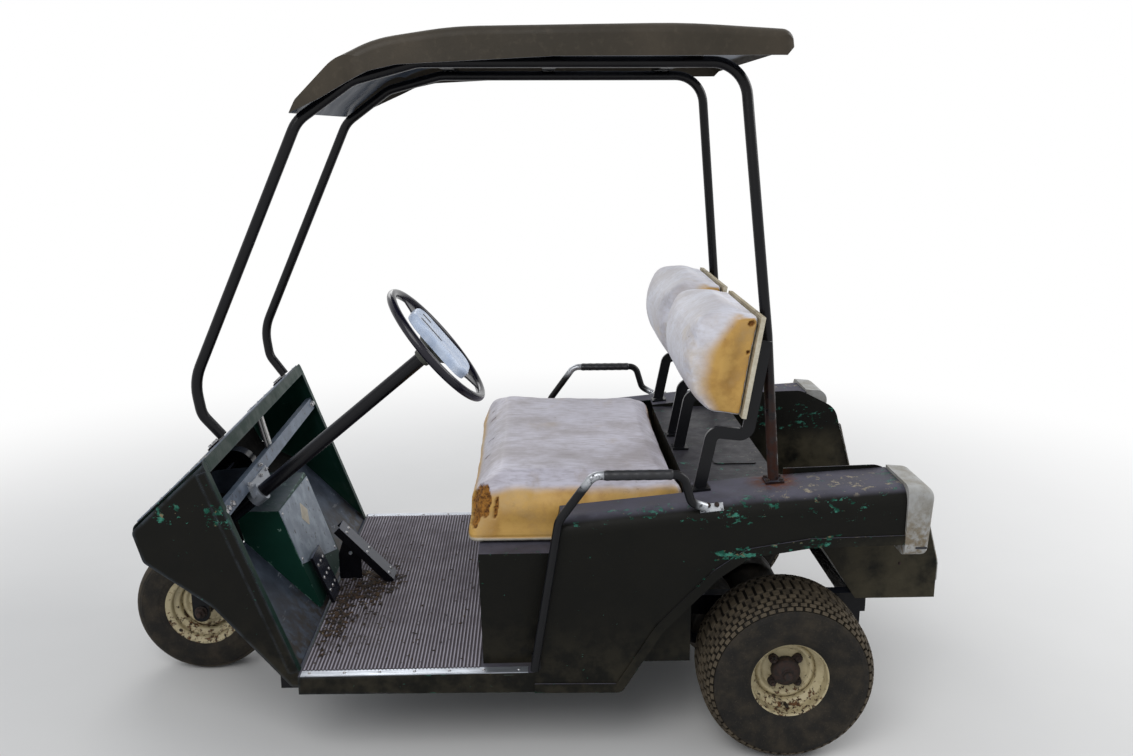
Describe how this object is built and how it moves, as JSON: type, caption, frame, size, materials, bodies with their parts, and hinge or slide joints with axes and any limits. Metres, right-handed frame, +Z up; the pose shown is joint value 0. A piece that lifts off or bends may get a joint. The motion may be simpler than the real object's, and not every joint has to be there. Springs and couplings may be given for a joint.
{
  "type": "three-wheeled golf cart",
  "caption": "Three-wheeled golf cart with wedge cowl, bench seat, canopy on bent hoops, bag well, single steered front wheel and turning rear wheels.",
  "frame": {"origin": "floor point below the middle of the cart's overall length and width", "axes": "+X forward, +Y to the cart's left, +Z up"},
  "size_m": [2.302, 1.2026, 1.8519],
  "materials": {
    "body_paint": "black over dark green, chipped",
    "frame_paint": "black, rusting",
    "tyre_rubber": "dusty",
    "rim_paint": "cream, rusting",
    "hub_iron": "rusty",
    "axle_steel": "oily, dusty",
    "seat_vinyl": "vinyl, worn",
    "board_wood": "bare plywood",
    "mat_rubber": "ribbed, dusty",
    "bright_trim": "brushed, scratched",
    "roof_shell": "weathered",
    "cap_plastic": "weathered",
    "wheel_plastic": "worn",
    "pad_plastic": "pale",
    "kick_metal": "dull",
    "dash_metal": "grey, scratched",
    "battery_case": "black"
  },
  "bodies": {
    "cart": {"arm_rails": "frame_paint", "back_boards": "board_wood", "back_pad_left": "seat_vinyl", "back_pad_right": "seat_vinyl", "back_supports": "frame_paint", "bag_well": "body_paint", "battery_pack": "battery_case", "body_side_left": "body_paint", "body_side_right": "body_paint", "canopy_hoop_left": "frame_paint", "canopy_hoop_right": "frame_paint", "canopy_roof": "roof_shell", "chassis_rails": "frame_paint", "column_clamp": "bright_trim", "cowl_hood": "body_paint", "cowl_side_left": "body_paint", "cowl_side_right": "body_paint", "cross_members": "frame_paint", "dash_rail": "dash_metal", "drive_motor": "axle_steel", "edge_strips": "bright_trim", "fender_caps": "cap_plastic", "floor_mat": "mat_rubber", "floor_pan": "body_paint", "front_neck": "frame_paint", "hood_braces": "bright_trim", "hood_strips": "bright_trim", "horn": "frame_paint", "horn_bracket": "dash_metal", "kick_plate": "kick_metal", "leaf_springs": "frame_paint", "pedals": "frame_paint", "rear_axle": "axle_steel", "rear_deck": "body_paint", "roof_bars": "frame_paint", "seat_box": "body_paint", "seat_cushion": "seat_vinyl", "steering_box": "frame_paint", "steering_column": "frame_paint", "toe_board": "dash_metal", "well_edge_strips": "cap_plastic", "wheel_housing": "body_paint"},
    "rear_wheel_left": {"rear_tyre_left": "tyre_rubber", "rear_rim_left": "rim_paint", "rear_hub_left": "hub_iron", "rear_drum_left": "hub_iron"},
    "rear_wheel_right": {"rear_tyre_right": "tyre_rubber", "rear_rim_right": "rim_paint", "rear_hub_right": "hub_iron", "rear_drum_right": "hub_iron"},
    "front_wheel": {"front_tyre": "tyre_rubber", "front_rim": "rim_paint", "front_hub": "hub_iron"},
    "fork": {"front_fork": "frame_paint", "front_axle": "hub_iron"},
    "pitman": {"pitman_arm": "frame_paint"},
    "drag_link": {"drag_link": "frame_paint"},
    "steering_wheel": {"steering_wheel": "wheel_plastic", "wheel_pad": "pad_plastic"}
  },
  "joints": [
    {"name": "rear_left_spin", "type": "hinge", "parent": "cart", "child": "rear_wheel_left", "pos_m": [-0.716, 0.49, 0.2286], "axis": [0, 1, 0], "continuous": true},
    {"name": "rear_right_spin", "type": "hinge", "parent": "cart", "child": "rear_wheel_right", "pos_m": [-0.716, -0.49, 0.2286], "axis": [0, 1, 0], "continuous": true},
    {"name": "fork_steer", "type": "hinge", "parent": "cart", "child": "fork", "pos_m": [0.956, 0, 0.5], "axis": [0, 0, 1], "range_deg": [-40, 40]},
    {"name": "front_spin", "type": "hinge", "parent": "fork", "child": "front_wheel", "pos_m": [0.944, 0, 0.207], "axis": [0, 1, 0], "continuous": true},
    {"name": "steering_wheel_turn", "type": "hinge", "parent": "cart", "child": "steering_wheel", "pos_m": [0.193, 0.28, 1.06], "axis": [-0.7717, 0, 0.6359], "range_deg": [-360, 360]},
    {"name": "pitman_turn", "type": "hinge", "parent": "cart", "child": "pitman", "pos_m": [0.849, 0.28, 0.5], "axis": [0, 0, 1], "range_deg": [-40, 40]},
    {"name": "link_turn", "type": "hinge", "parent": "pitman", "child": "drag_link", "pos_m": [0.76493, 0.24787, 0.444], "axis": [0, 0, 1], "range_deg": [-40, 40]}
  ],
  "couplings": [
    {"joint": "steering_wheel_turn", "follows": "fork_steer", "ratio": 9},
    {"joint": "pitman_turn", "follows": "fork_steer", "ratio": 1},
    {"joint": "link_turn", "follows": "fork_steer", "ratio": -1}
  ]
}
